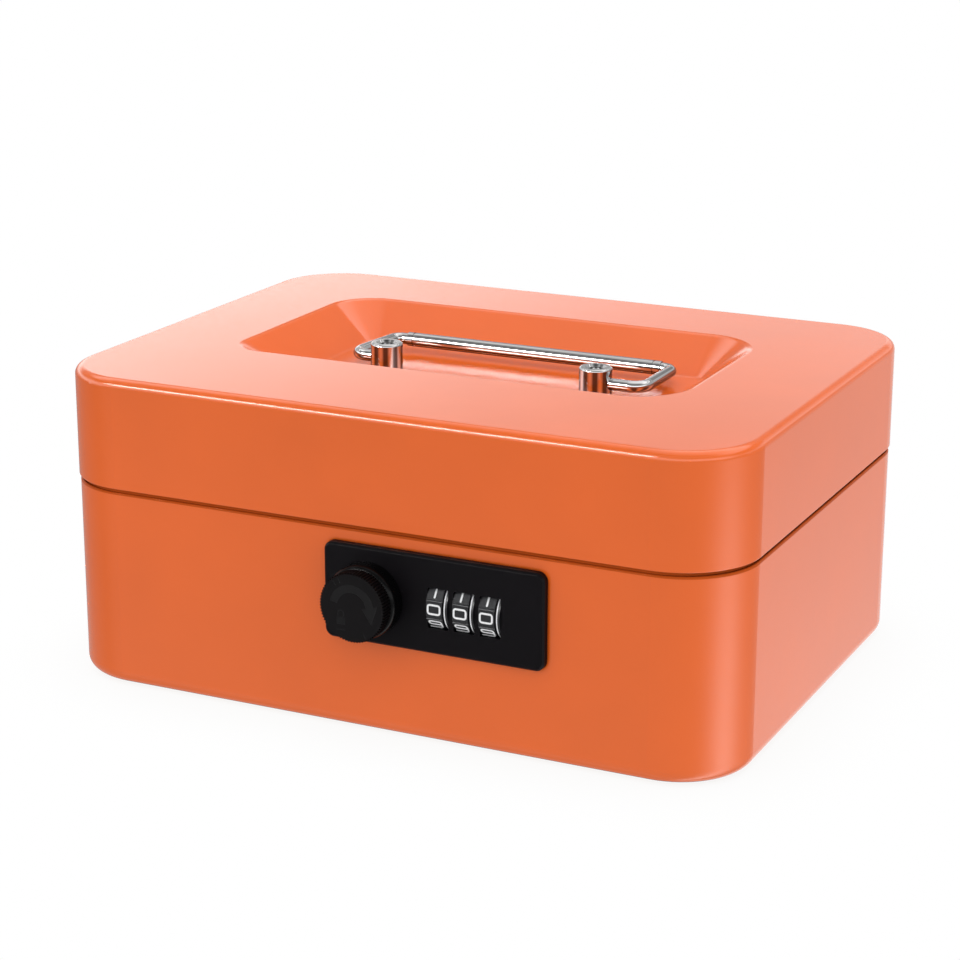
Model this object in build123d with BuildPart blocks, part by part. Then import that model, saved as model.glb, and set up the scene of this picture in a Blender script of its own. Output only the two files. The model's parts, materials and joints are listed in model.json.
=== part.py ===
from build123d import *
import math
import os

os.makedirs("parts", exist_ok=True)

# Cash box with a three-dial lock.
# Frame: origin at the centre of the footprint, on the resting plane.
# +X is the width, the lock is on the -Y side, the hinges are on the +Y side, +Z is up.

# ---- driving dimensions (millimetres) ----
WIDTH = 205.0            # lid outside width
DEPTH = 155.4            # lid outside depth
HEIGHT = 90.4            # floor to lid top
SEAM = 58.7              # underside of the lid skirt
SHEET = 0.8              # steel sheet
CORNER = 22.3            # vertical corner radius of the lid
INSET = 0.8              # body front and rear stand in from the lid skirt
INSET_X = 0.3            # body ends stand in from the lid skirt
TOP_R = 2.5              # rolled edge of the lid top
BOTTOM_R = 3.9           # rolled edge of the body bottom
NECK_TOP = 66.0          # top of the neck inside the skirt
NECK_GAP = 0.5           # neck to skirt
SEAM_GAP = 1.1           # open line under the lid skirt

DISH_X, DISH_Y = -1.5, 7.2         # centre of the dish in the lid
DISH_W, DISH_D = 137.6, 76.4       # rim of the dish
DISH_R = 17.0                      # right-hand corners
DISH_R_FL, DISH_R_BL = 10.0, 13.5  # left-hand corners, front and back
DISH_FLOOR_R = 3.4
DISH_DEPTH = 10.1
DISH_RUN = 13.7                    # plan width of the slope
DISH_FLOOR = HEIGHT - DISH_DEPTH

HANDLE_X = -2.0                    # centre of the posts
BAIL_X = 1.1                       # centre of the grip
PIVOT_Y, PIVOT_Z = 1.5, 83.9
POST_X = 33.6                      # post from the handle centre
POST_R = 4.8
POST_TOP = 88.6
WIRE_R = 1.75
ARM_FL, ARM_BL, ARM_BR, ARM_FR = -47.1, -44.4, 46.3, 46.1   # corners of the bail, left and right
GRIP_Y = 25.1
GRIP_R = 2.15
GRIP_LEN = 82.8
RUN_FIT = 0.05

HINGE_X = (-62.0, 62.0)
HINGE_Y, HINGE_Z = 80.2, 58.4
KNUCKLE_R = 2.2
PIN_R = 1.0
LEAF_W = 28.0

PLATE_X0, PLATE_X1 = -12.95, 52.1
PLATE_Z0, PLATE_Z1 = 26.7, 53.8
PLATE_Y = -79.2
WALL_Y = -(DEPTH / 2 - INSET)      # front face of the body, -76.9
KNOB_X, LOCK_Z = 0.5, 39.6
KNOB_R = 9.75
KNOB_Y = -88.6
KNURLS = 72
DIAL_X = (21.35, 29.0, 36.65)
DIAL_Y = -72.6
DIAL_R = 8.0
DIAL_W = 6.0
SCREWS = ((-9.5, 30.7), (-9.5, 49.7), (49.6, 30.7), (49.6, 49.7))

HX, HY = WIDTH / 2, DEPTH / 2

# ---- lower box ----
BX, BY = HX - INSET_X, HY - INSET        # outer half sizes of the body
NX, NY = HX - INSET - NECK_GAP, BY - NECK_GAP    # outer half sizes of the neck
SHOULDER = SEAM - SEAM_GAP

# the hollow of the walls, with its rolled floor edge
with BuildPart() as body_hollow:
    with BuildSketch(Plane.XY.offset(SHEET)):
        RectangleRounded(2 * (BX - SHEET), 2 * (BY - SHEET), CORNER - INSET - SHEET)
    extrude(amount=SHOULDER)
    fillet(body_hollow.faces().sort_by(Axis.Z)[0].edges(), BOTTOM_R - SHEET)

with BuildPart() as box_body:
    with BuildSketch(Plane.XY):
        RectangleRounded(2 * BX, 2 * BY, CORNER - INSET)
    extrude(amount=SHOULDER)
    fillet(box_body.faces().sort_by(Axis.Z)[0].edges(), BOTTOM_R)
    fillet(box_body.faces().sort_by(Axis.Z)[-1].edges(), 0.6)
    add(body_hollow.part, mode=Mode.SUBTRACT)
    # shoulder and neck
    with BuildSketch(Plane.XY.offset(SHOULDER - SHEET)):
        RectangleRounded(2 * BX - 1.0, 2 * BY - 1.0, CORNER - INSET - 0.5)
        RectangleRounded(2 * (NX - SHEET), 2 * (NY - SHEET), CORNER - INSET - NECK_GAP - SHEET, mode=Mode.SUBTRACT)
    extrude(amount=SHEET)
    with BuildSketch(Plane.XY.offset(SHOULDER - SHEET)):
        RectangleRounded(2 * NX, 2 * NY, CORNER - INSET - NECK_GAP)
        RectangleRounded(2 * (NX - SHEET), 2 * (NY - SHEET), CORNER - INSET - NECK_GAP - SHEET, mode=Mode.SUBTRACT)
    extrude(amount=NECK_TOP - SHOULDER + SHEET)
    # passages for the knob boss and the dials in the front wall
    with BuildSketch(Plane.XZ.offset(BY - 2)):
        with Locations((KNOB_X, LOCK_Z)):
            Circle(4.6)
        with Locations(((DIAL_X[0] + DIAL_X[2]) / 2 + 0.4, LOCK_Z)):
            Rectangle(24.4, 17.4)
        with Locations(*SCREWS):
            Circle(1.3)
    extrude(amount=4, mode=Mode.SUBTRACT)
    # rivet holes for the hinge leaves in the rear wall
    with BuildSketch(Plane.XZ.offset(-BY - 1)):
        with Locations(*[(h + s * 9.0, 50.0) for h in HINGE_X for s in (-1, 1)]):
            Circle(1.15)
    extrude(amount=4, mode=Mode.SUBTRACT)
box_body.part.label = "box_body"
export_step(box_body.part, "parts/box_body.step")

# ---- lid ----


def dish_outline(w, d, radii):
    """Rectangle round the dish centre with its own radius at each corner: right, back left, front left."""
    Rectangle(w, d)
    for sx, sy, r in ((1, 1, radii[0]), (1, -1, radii[0]), (-1, 1, radii[1]), (-1, -1, radii[2])):
        fillet([v for v in vertices() if abs(v.X - sx * w / 2) < 0.01 and abs(v.Y - sy * d / 2) < 0.01], r)


with BuildPart() as lid_hollow:
    with BuildSketch(Plane.XY.offset(SEAM - 1.0)):
        RectangleRounded(WIDTH - 2 * SHEET, DEPTH - 2 * SHEET, CORNER - SHEET)
    extrude(amount=HEIGHT - SEAM - SHEET + 1.0)
    fillet(lid_hollow.faces().sort_by(Axis.Z)[-1].edges(), TOP_R - SHEET)

# the dish as a solid: rim and floor edges are softened on this tool and on its underside copy
with BuildPart() as dish_void:
    with BuildSketch(Plane(origin=(DISH_X, DISH_Y, HEIGHT))):
        dish_outline(DISH_W, DISH_D, (DISH_R, DISH_R_BL, DISH_R_FL))
    with BuildSketch(Plane(origin=(DISH_X, DISH_Y, DISH_FLOOR))):
        dish_outline(DISH_W - 2 * DISH_RUN, DISH_D - 2 * DISH_RUN, (DISH_FLOOR_R, DISH_FLOOR_R, DISH_FLOOR_R))
    loft(ruled=True)
    fillet(dish_void.faces().sort_by(Axis.Z)[0].edges(), 2.4)

# the same hollow one sheet thickness lower, for the underside
GROW = 0.27
with BuildPart() as dish_boss:
    with BuildSketch(Plane(origin=(DISH_X, DISH_Y, HEIGHT - SHEET))):
        dish_outline(DISH_W + 2 * GROW, DISH_D + 2 * GROW, (DISH_R + GROW, DISH_R_BL + GROW, DISH_R_FL + GROW))
    with BuildSketch(Plane(origin=(DISH_X, DISH_Y, DISH_FLOOR - SHEET))):
        dish_outline(
            DISH_W - 2 * DISH_RUN + 2 * GROW, DISH_D - 2 * DISH_RUN + 2 * GROW,
            (DISH_FLOOR_R + GROW, DISH_FLOOR_R + GROW, DISH_FLOOR_R + GROW),
        )
    loft(ruled=True)

with BuildPart() as lid:
    with BuildSketch(Plane.XY.offset(SEAM)):
        RectangleRounded(WIDTH, DEPTH, CORNER)
    extrude(amount=HEIGHT - SEAM)
    fillet(lid.faces().sort_by(Axis.Z)[-1].edges(), TOP_R)
    add(lid_hollow.part, mode=Mode.SUBTRACT)
    # rolled hem of the skirt
    fillet(lid.faces().sort_by(Axis.Z)[0].outer_wire().edges(), 0.36)
    # underside of the dish, then the dish
    add(dish_boss.part)
    add(dish_void.part, mode=Mode.SUBTRACT)
    rim = lid.edges().filter_by(
        lambda e: abs(e.center().Z - HEIGHT) < 1e-3 and e.bounding_box().size.Z < 1e-2
        and e.bounding_box().max.X < DISH_X + DISH_W / 2 + 0.1
        and e.bounding_box().min.X > DISH_X - DISH_W / 2 - 0.1
        and e.bounding_box().max.Y < DISH_Y + DISH_D / 2 + 0.1
        and e.bounding_box().min.Y > DISH_Y - DISH_D / 2 - 0.1
    )
    fillet(rim, 2.4)
    # holes for the shanks of the handle posts
    with BuildSketch(Plane.XY.offset(DISH_FLOOR + 1)):
        with Locations((HANDLE_X - POST_X, PIVOT_Y), (HANDLE_X + POST_X, PIVOT_Y)):
            Circle(2.6)
    extrude(amount=-3, mode=Mode.SUBTRACT)
    # rivet holes for the hinge leaves
    with BuildSketch(Plane.XZ.offset(-HY - 1)):
        with Locations(*[(h + s * 9.0, 70.2) for h in HINGE_X for s in (-1, 1)]):
            Circle(1.15)
    extrude(amount=4, mode=Mode.SUBTRACT)
lid.part.label = "lid"
export_step(lid.part, "parts/lid.step")

# ---- handle posts, their washers, the bail and the grip ----
for side, tag in ((-1, "left"), (1, "right")):
    px = HANDLE_X + side * POST_X
    with BuildPart() as post:
        with BuildSketch(Plane.XY.offset(DISH_FLOOR)):
            with Locations((px, PIVOT_Y)):
                Circle(POST_R)
        extrude(amount=POST_TOP - DISH_FLOOR)
        fillet(post.faces().sort_by(Axis.Z)[-1].edges(), 0.7)
        fillet(post.faces().sort_by(Axis.Z)[0].edges(), 0.4)
        # dished blind hole in the top
        with BuildSketch(Plane.XY.offset(POST_TOP)):
            with Locations((px, PIVOT_Y)):
                Circle(3.1)
        extrude(amount=-0.7, mode=Mode.SUBTRACT, taper=35)
        with BuildSketch(Plane.XY.offset(POST_TOP - 0.7)):
            with Locations((px, PIVOT_Y)):
                Circle(2.3)
        extrude(amount=-0.5, mode=Mode.SUBTRACT)
        # shank through the lid, with its peened end
        with BuildSketch(Plane.XY.offset(DISH_FLOOR + 0.5)):
            with Locations((px, PIVOT_Y)):
                Circle(2.5)
        extrude(amount=-2.6)
        # side bore for the wire
        with BuildSketch(Plane.YZ.offset(px)):
            with Locations((PIVOT_Y, PIVOT_Z)):
                Circle(WIRE_R + RUN_FIT)
        extrude(amount=side * 8.0, mode=Mode.SUBTRACT)
    post.part.label = "handle_post_" + tag
    export_step(post.part, "parts/handle_post_" + tag + ".step")

with BuildPart() as post_washers:
    with BuildSketch(Plane.XY.offset(DISH_FLOOR - SHEET)):
        with Locations((HANDLE_X - POST_X, PIVOT_Y), (HANDLE_X + POST_X, PIVOT_Y)):
            Circle(5.0)
            Circle(2.55, mode=Mode.SUBTRACT)
    extrude(amount=-1.0)
post_washers.part.label = "post_washers"
export_step(post_washers.part, "parts/post_washers.step")

pin_in = POST_X + 1.4
with BuildPart() as bail_wire:
    with BuildLine(Plane.XY.offset(PIVOT_Z)) as bail_path:
        bail_line = Polyline(
            (HANDLE_X - pin_in, PIVOT_Y),
            (ARM_FL, PIVOT_Y),
            (ARM_BL, GRIP_Y),
            (ARM_BR, GRIP_Y),
            (ARM_FR, PIVOT_Y),
            (HANDLE_X + pin_in, PIVOT_Y),
        )
        fillet(
            [v for v in bail_path.vertices() if abs(v.X) > 44 and abs(v.Y - PIVOT_Y) < 0.1],
            4.2,
        )
        fillet(
            [v for v in bail_path.vertices() if abs(v.X) > 44 and abs(v.Y - GRIP_Y) < 0.1],
            3.0,
        )
    with BuildSketch(Plane(origin=(HANDLE_X - pin_in, PIVOT_Y, PIVOT_Z), x_dir=(0, 1, 0), z_dir=(-1, 0, 0))):
        Circle(WIRE_R)
    sweep(path=bail_path.wires()[0])
bail_wire.part.label = "bail_wire"
export_step(bail_wire.part, "parts/bail_wire.step")

with BuildPart() as grip_sleeve:
    with BuildSketch(Plane.YZ.offset(BAIL_X - GRIP_LEN / 2)):
        with Locations((GRIP_Y, PIVOT_Z)):
            Circle(GRIP_R)
            Circle(WIRE_R + RUN_FIT, mode=Mode.SUBTRACT)
    extrude(amount=GRIP_LEN)
    fillet(
        grip_sleeve.edges().filter_by(GeomType.CIRCLE).filter_by(lambda e: e.radius > 2.0),
        0.2,
    )
    # turned rings near both ends
    for end in (-1, 1):
        with BuildSketch(Plane.YZ.offset(BAIL_X + end * (GRIP_LEN / 2 - 2.2) - 0.25)):
            with Locations((GRIP_Y, PIVOT_Z)):
                Circle(GRIP_R + 0.1)
                Circle(GRIP_R - 0.22, mode=Mode.SUBTRACT)
        extrude(amount=0.5, mode=Mode.SUBTRACT)
grip_sleeve.part.label = "grip_sleeve"
export_step(grip_sleeve.part, "parts/grip_sleeve.step")

# ---- hinges: knuckles 1, 3, 5 on the body leaf and 2, 4 on the lid leaf ----
BODY_KNUCKLES = ((-14.0, -8.5), (-2.7, 2.7), (8.5, 14.0))
LID_KNUCKLES = ((-8.35, -2.85), (2.85, 8.35))
REAR_BODY = BY
REAR_LID = HY

for hx, tag in zip(HINGE_X, ("left", "right")):
    with BuildPart() as body_leaf:
        with BuildSketch(Plane.XZ.offset(-REAR_BODY)):
            with Locations((hx, 50.4)):
                RectangleRounded(LEAF_W, 10.8, 1.5)
        extrude(amount=-0.9)
        for a, b in BODY_KNUCKLES:
            with BuildSketch(Plane.YZ.offset(hx + a)):
                with Locations((HINGE_Y, HINGE_Z)):
                    Circle(KNUCKLE_R)
                with BuildLine():
                    Polyline(
                        (REAR_BODY, 53.0), (REAR_BODY + 0.9, 53.0), (REAR_BODY + 0.9, 55.6),
                        (HINGE_Y, 56.2), (HINGE_Y - 1.2, 57.4), (REAR_BODY + 0.2, 57.2), (REAR_BODY, 56.8),
                        close=True,
                    )
                make_face()
                with Locations((HINGE_Y, HINGE_Z)):
                    Circle(PIN_R + 0.02, mode=Mode.SUBTRACT)
            extrude(amount=b - a)
        with BuildSketch(Plane.XZ.offset(-REAR_BODY)):
            with Locations((hx - 9.0, 50.0), (hx + 9.0, 50.0)):
                Circle(1.15)
        extrude(amount=-0.9, mode=Mode.SUBTRACT)
    body_leaf.part.label = "hinge_body_leaf_" + tag
    export_step(body_leaf.part, "parts/hinge_body_leaf_" + tag + ".step")

    with BuildPart() as lid_leaf:
        with BuildSketch(Plane.XZ.offset(-REAR_LID)):
            with Locations((hx, 67.3)):
                RectangleRounded(LEAF_W, 14.2, 1.5)
        extrude(amount=-0.9)
        for a, b in LID_KNUCKLES:
            # the spur meets the body leaf when the lid stands a little past square
            d = math.radians(-15.0)
            ux, uy = math.cos(d), math.sin(d)
            with BuildSketch(Plane.YZ.offset(hx + a)):
                with Locations((HINGE_Y, HINGE_Z)):
                    Circle(KNUCKLE_R)
                with BuildLine():
                    Polyline(
                        (REAR_LID, 58.95), (REAR_LID + 1.2, 58.95), (REAR_LID + 0.9, 61.4),
                        (REAR_LID, 61.4),
                        close=True,
                    )
                make_face()
                with BuildLine():
                    Polyline(
                        (HINGE_Y - 0.6 * uy, HINGE_Z + 0.6 * ux),
                        (HINGE_Y + 3.5 * ux - 0.6 * uy, HINGE_Z + 3.5 * uy + 0.6 * ux),
                        (HINGE_Y + 3.5 * ux + 0.6 * uy, HINGE_Z + 3.5 * uy - 0.6 * ux),
                        (HINGE_Y + 0.6 * uy, HINGE_Z - 0.6 * ux),
                        close=True,
                    )
                make_face()
                with Locations((HINGE_Y, HINGE_Z)):
                    Circle(PIN_R + RUN_FIT, mode=Mode.SUBTRACT)
            extrude(amount=b - a)
        with BuildSketch(Plane.XZ.offset(-REAR_LID)):
            with Locations((hx - 9.0, 70.2), (hx + 9.0, 70.2)):
                Circle(1.15)
        extrude(amount=-0.9, mode=Mode.SUBTRACT)
    lid_leaf.part.label = "hinge_lid_leaf_" + tag
    export_step(lid_leaf.part, "parts/hinge_lid_leaf_" + tag + ".step")

    with BuildPart() as hinge_pin:
        with BuildSketch(Plane.YZ.offset(hx - 14.1)):
            with Locations((HINGE_Y, HINGE_Z)):
                Circle(PIN_R)
        extrude(amount=28.2)
        for e in (-1, 1):
            with BuildSketch(Plane.YZ.offset(hx + e * 14.1)):
                with Locations((HINGE_Y, HINGE_Z)):
                    Circle(1.5)
            extrude(amount=e * 0.6)
        fillet(
            hinge_pin.edges().filter_by(GeomType.CIRCLE).filter_by(lambda q: abs(q.radius - 1.5) < 1e-3)
            .filter_by(lambda q: abs(abs(q.center().X - hx) - 14.7) < 1e-3),
            0.4,
        )
    hinge_pin.part.label = "hinge_pin_" + tag
    export_step(hinge_pin.part, "parts/hinge_pin_" + tag + ".step")

# rivets: dome outside, flat clench inside
with BuildPart() as hinge_rivets_body:
    for hx in HINGE_X:
        for s in (-9.0, 9.0):
            with BuildSketch(Plane.XZ.offset(-(REAR_BODY - SHEET - 0.6))):
                with Locations((hx + s, 50.0)):
                    Circle(1.9)
            extrude(amount=-0.6)
            with BuildSketch(Plane.XZ.offset(-(REAR_BODY - SHEET))):
                with Locations((hx + s, 50.0)):
                    Circle(1.1)
            extrude(amount=-(SHEET + 0.9))
            with BuildSketch(Plane.XZ.offset(-(REAR_BODY + 0.9))):
                with Locations((hx + s, 50.0)):
                    Circle(2.1)
            extrude(amount=-0.8)
    fillet(
        hinge_rivets_body.edges().filter_by(GeomType.CIRCLE).group_by(Axis.Y)[-1],
        0.7,
    )
hinge_rivets_body.part.label = "hinge_rivets_body"
export_step(hinge_rivets_body.part, "parts/hinge_rivets_body.step")

with BuildPart() as hinge_rivets_lid:
    for hx in HINGE_X:
        for s in (-9.0, 9.0):
            with BuildSketch(Plane.XZ.offset(-(REAR_LID - SHEET - 0.6))):
                with Locations((hx + s, 70.2)):
                    Circle(1.9)
            extrude(amount=-0.6)
            with BuildSketch(Plane.XZ.offset(-(REAR_LID - SHEET))):
                with Locations((hx + s, 70.2)):
                    Circle(1.1)
            extrude(amount=-(SHEET + 0.9))
            with BuildSketch(Plane.XZ.offset(-(REAR_LID + 0.9))):
                with Locations((hx + s, 70.2)):
                    Circle(2.1)
            extrude(amount=-0.8)
    fillet(
        hinge_rivets_lid.edges().filter_by(GeomType.CIRCLE).group_by(Axis.Y)[-1],
        0.7,
    )
hinge_rivets_lid.part.label = "hinge_rivets_lid"
export_step(hinge_rivets_lid.part, "parts/hinge_rivets_lid.step")

# ---- lock: faceplate, collar, knob ----
pcx, pcz = (PLATE_X0 + PLATE_X1) / 2, (PLATE_Z0 + PLATE_Z1) / 2
BOSS_END = -71.0
with BuildPart() as lock_faceplate:
    with BuildSketch(Plane.XZ.offset(-WALL_Y)):
        with Locations((pcx, pcz)):
            RectangleRounded(PLATE_X1 - PLATE_X0, PLATE_Z1 - PLATE_Z0, 2.5)
    extrude(amount=WALL_Y - PLATE_Y)
    chamfer(lock_faceplate.faces().sort_by(Axis.Y)[0].edges(), 0.6)
    fillet(lock_faceplate.faces().sort_by(Axis.Y)[0].edges(), 0.3)
    # bearing boss for the knob shaft
    with BuildSketch(Plane.XZ.offset(-BOSS_END)):
        with Locations((KNOB_X, LOCK_Z)):
            Circle(4.3)
    extrude(amount=BOSS_END - WALL_Y + 0.5)
    with BuildSketch(Plane.XZ.offset(-BOSS_END)):
        with Locations((KNOB_X, LOCK_Z)):
            Circle(3.05)
    extrude(amount=BOSS_END - PLATE_Y, mode=Mode.SUBTRACT)
    # dial windows, hollowed behind to the dial radius
    with BuildSketch(Plane.XZ.offset(-WALL_Y - 1)):
        with Locations(*[(x, LOCK_Z) for x in DIAL_X]):
            RectangleRounded(DIAL_W + 0.2, 11.4, 0.5)
    extrude(amount=5, mode=Mode.SUBTRACT)
    for x in DIAL_X:
        with BuildSketch(Plane.YZ.offset(x - DIAL_W / 2 - 0.1)):
            with Locations((DIAL_Y, LOCK_Z)):
                Circle(DIAL_R + 0.25)
        extrude(amount=DIAL_W + 0.2, mode=Mode.SUBTRACT)
    # the ribs between the windows are thinned for the code sleeves
    with BuildSketch(Plane.YZ.offset(DIAL_X[0] - DIAL_W / 2 - 0.2)):
        with Locations((DIAL_Y, LOCK_Z)):
            Circle(4.15)
    extrude(amount=DIAL_X[2] - DIAL_X[0] + DIAL_W + 1.9, mode=Mode.SUBTRACT)
    # blind screw holes
    with BuildSketch(Plane.XZ.offset(-WALL_Y)):
        with Locations(*SCREWS):
            Circle(1.12)
    extrude(amount=1.3, mode=Mode.SUBTRACT)
lock_faceplate.part.label = "lock_faceplate"
export_step(lock_faceplate.part, "parts/lock_faceplate.step")

COLLAR_FRONT = -84.3
with BuildPart() as knob_collar:
    with BuildSketch(Plane.XZ.offset(-PLATE_Y)):
        with Locations((KNOB_X, LOCK_Z)):
            Circle(10.3)
    extrude(amount=PLATE_Y - COLLAR_FRONT)
    fillet(knob_collar.faces().sort_by(Axis.Y)[0].edges(), 1.5)
    with BuildSketch(Plane.XZ.offset(-PLATE_Y)):
        with Locations((KNOB_X, LOCK_Z)):
            Circle(6.0)
    extrude(amount=6, mode=Mode.SUBTRACT)
knob_collar.part.label = "knob_collar"
export_step(knob_collar.part, "parts/knob_collar.step")

knurl_rings = []
for back in (0.0, 0.22):
    ring = []
    for i in range(KNURLS):
        for k, r in ((0.0, KNOB_R - 0.5), (0.22, KNOB_R - 0.5), (0.5, KNOB_R - back), (0.72, KNOB_R - back)):
            a = 2 * math.pi * (i + k) / KNURLS
            ring.append((KNOB_X + r * math.cos(a), LOCK_Z + r * math.sin(a)))
    knurl_rings.append(ring)
with BuildPart() as knob:
    with BuildSketch(Plane.XZ.offset(84.7)):
        with BuildLine():
            Polyline(*knurl_rings[0], close=True)
        make_face()
    extrude(amount=-KNOB_Y - 84.7 - 0.2)
    with BuildSketch(Plane.XZ.offset(-KNOB_Y - 0.2)):
        with BuildLine():
            Polyline(*knurl_rings[1], close=True)
        make_face()
    extrude(amount=0.2)
    with BuildSketch(Plane.XZ.offset(80.2)):
        with Locations((KNOB_X, LOCK_Z)):
            Circle(5.6)
    extrude(amount=4.6)
    # blind bore for the shaft
    with BuildSketch(Plane.XZ.offset(80.0)):
        with Locations((KNOB_X, LOCK_Z)):
            Circle(3.02)
    extrude(amount=7.5, mode=Mode.SUBTRACT)
knob.part.label = "knob"
export_step(knob.part, "parts/knob.step")

with BuildPart() as knob_spindle:
    with BuildSketch(Plane.XZ.offset(70.45)):
        with Locations((KNOB_X, LOCK_Z)):
            Circle(3.0)
    extrude(amount=17.0)
    with BuildSketch(Plane.XZ.offset(68.45)):
        with Locations((KNOB_X, LOCK_Z)):
            Rectangle(4.0, 4.0)
    extrude(amount=2.1)
    with BuildSketch(Plane.XZ.offset(68.4)):
        with Locations((KNOB_X, LOCK_Z)):
            Circle(1.25)
    extrude(amount=5.5, mode=Mode.SUBTRACT)
knob_spindle.part.label = "knob_spindle"
export_step(knob_spindle.part, "parts/knob_spindle.step")

with BuildPart() as spindle_washer:
    with BuildSketch(Plane.XZ.offset(70.5)):
        with Locations((KNOB_X, LOCK_Z)):
            Circle(4.4)
            Circle(3.08, mode=Mode.SUBTRACT)
    extrude(amount=0.45)
spindle_washer.part.label = "spindle_washer"
export_step(spindle_washer.part, "parts/spindle_washer.step")

# latch arm: points up when open, swings over the lip of the lid strike when locked
with BuildPart() as latch_cam:
    with BuildSketch(Plane.XZ.offset(68.5)):
        with Locations((KNOB_X, LOCK_Z)):
            Circle(5.0)
        with Locations((KNOB_X, LOCK_Z + 6.0)):
            Rectangle(5.2, 12.0)
        with Locations((KNOB_X, LOCK_Z + 12.0)):
            Circle(2.6)
        with Locations((KNOB_X - 4.0, LOCK_Z - 2.0)):
            Circle(2.4)
        with Locations((KNOB_X, LOCK_Z)):
            Rectangle(4.04, 4.04, mode=Mode.SUBTRACT)
    extrude(amount=1.9)
latch_cam.part.label = "latch_cam"
export_step(latch_cam.part, "parts/latch_cam.step")

with BuildPart() as cam_screw:
    with BuildSketch(Plane.XZ.offset(66.9)):
        with Locations((KNOB_X, LOCK_Z)):
            Circle(3.3)
    extrude(amount=1.5)
    fillet(cam_screw.faces().sort_by(Axis.Y)[-1].edges(), 0.6)
    with BuildSketch(Plane.XZ.offset(68.4)):
        with Locations((KNOB_X, LOCK_Z)):
            Circle(1.2)
    extrude(amount=4.5)
    for w, h in ((3.6, 0.7), (0.7, 3.6)):
        with BuildSketch(Plane.XZ.offset(66.9)):
            with Locations((KNOB_X, LOCK_Z)):
                Rectangle(w, h)
        extrude(amount=0.8, mode=Mode.SUBTRACT)
cam_screw.part.label = "cam_screw"
export_step(cam_screw.part, "parts/cam_screw.step")

# ---- lock: dials, code sleeves, shaft ----
for i, x in enumerate(DIAL_X, 1):
    with BuildPart() as dial:
        # ten-sided number barrel
        with BuildSketch(Plane.YZ.offset(x - DIAL_W / 2)):
            with Locations((DIAL_Y, LOCK_Z)):
                RegularPolygon(radius=DIAL_R - 0.05, side_count=10, rotation=18)
        extrude(amount=4.65)
        # neck groove and right-hand rim
        with BuildSketch(Plane.YZ.offset(x - DIAL_W / 2 + 4.65)):
            with Locations((DIAL_Y, LOCK_Z)):
                Circle(DIAL_R - 1.1)
        extrude(amount=0.4)
        with BuildSketch(Plane.YZ.offset(x - DIAL_W / 2 + 5.05)):
            with Locations((DIAL_Y, LOCK_Z)):
                Circle(DIAL_R - 0.65)
        extrude(amount=0.95)
        # shallow finger flutes between the numbers
        with BuildSketch(Plane.YZ.offset(x - DIAL_W / 2)):
            with Locations(*[
                (DIAL_Y + 8.15 * math.cos(math.radians(18 + 36 * k)), LOCK_Z + 8.15 * math.sin(math.radians(18 + 36 * k)))
                for k in range(10)
            ]):
                Circle(0.5)
        extrude(amount=4.65, mode=Mode.SUBTRACT)
        # bore, with ten coupling notches
        with BuildSketch(Plane.YZ.offset(x - DIAL_W / 2)):
            with Locations((DIAL_Y, LOCK_Z)):
                Circle(4.0)
        extrude(amount=DIAL_W, mode=Mode.SUBTRACT)
        with BuildSketch(Plane.YZ.offset(x - DIAL_W / 2)):
            with Locations(*[
                (DIAL_Y + 4.1 * math.cos(math.radians(36 * k)), LOCK_Z + 4.1 * math.sin(math.radians(36 * k)))
                for k in range(10)
            ]):
                Circle(0.5)
        extrude(amount=2.0, mode=Mode.SUBTRACT)
    dial.part.label = "dial_%d" % i
    export_step(dial.part, "parts/dial_%d.step" % i)

    with BuildPart() as code_sleeve:
        with BuildSketch(Plane.YZ.offset(x - DIAL_W / 2)):
            with Locations((DIAL_Y, LOCK_Z)):
                Circle(3.9)
        extrude(amount=DIAL_W + 0.2)
        # gate end, notched for the fence tooth
        with BuildSketch(Plane.YZ.offset(x + DIAL_W / 2 + 0.2)):
            with Locations((DIAL_Y, LOCK_Z)):
                Circle(3.9)
            with Locations((DIAL_Y + 3.6, LOCK_Z)):
                Rectangle(2.2, 4.4, mode=Mode.SUBTRACT)
        extrude(amount=0.9)
        with BuildSketch(Plane.YZ.offset(x - DIAL_W / 2)):
            with Locations((DIAL_Y, LOCK_Z)):
                Circle(1.55)
        extrude(amount=DIAL_W + 1.2, mode=Mode.SUBTRACT)
    code_sleeve.part.label = "code_sleeve_%d" % i
    export_step(code_sleeve.part, "parts/code_sleeve_%d.step" % i)

with BuildPart() as dial_shaft:
    with BuildSketch(Plane.YZ.offset(16.0)):
        with Locations((DIAL_Y, LOCK_Z)):
            Circle(1.5)
    extrude(amount=31.2)
    chamfer(dial_shaft.edges().filter_by(GeomType.CIRCLE), 0.3)
dial_shaft.part.label = "dial_shaft"
export_step(dial_shaft.part, "parts/dial_shaft.step")

with BuildPart() as shaft_spring:
    with BuildLine() as coil:
        Helix(pitch=0.95, height=2.7, radius=1.83, center=(43.2, DIAL_Y, LOCK_Z), direction=(1, 0, 0))
    with BuildSketch(Plane(origin=coil.wires()[0] @ 0, z_dir=coil.wires()[0] % 0)):
        Circle(0.24)
    sweep(path=coil.wires()[0], is_frenet=True)
shaft_spring.part.label = "shaft_spring"
export_step(shaft_spring.part, "parts/shaft_spring.step")

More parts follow.
